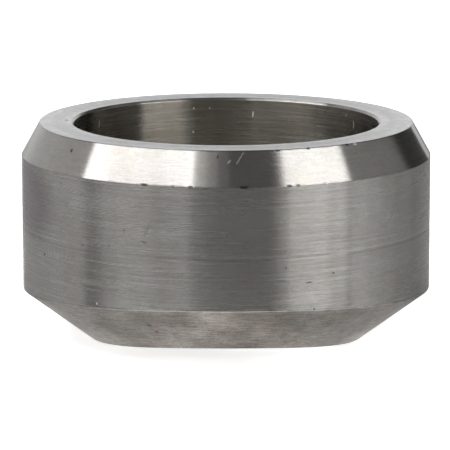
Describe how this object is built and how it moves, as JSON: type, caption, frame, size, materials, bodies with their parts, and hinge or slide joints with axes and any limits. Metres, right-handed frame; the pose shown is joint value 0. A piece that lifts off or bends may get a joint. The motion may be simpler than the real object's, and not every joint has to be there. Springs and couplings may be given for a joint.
{
  "type": "branch outlet fitting",
  "caption": "Short turned steel branch outlet with a bevelled rim, a stepped pipe socket and a saddle-shaped, weld-bevelled foot that sits on a larger run pipe.",
  "frame": {"origin": "on the branch axis, in the plane of the lowest points of the foot, where it stands on a table", "axes": "+Z along the branch axis, out of the socket; Y along the run pipe that the foot is contoured for"},
  "size_m": [0.082, 0.082, 0.0435],
  "materials": {
    "turned_steel": "turned"
  },
  "bodies": {
    "root": {"outlet_body": "turned_steel"}
  },
  "joints": []
}
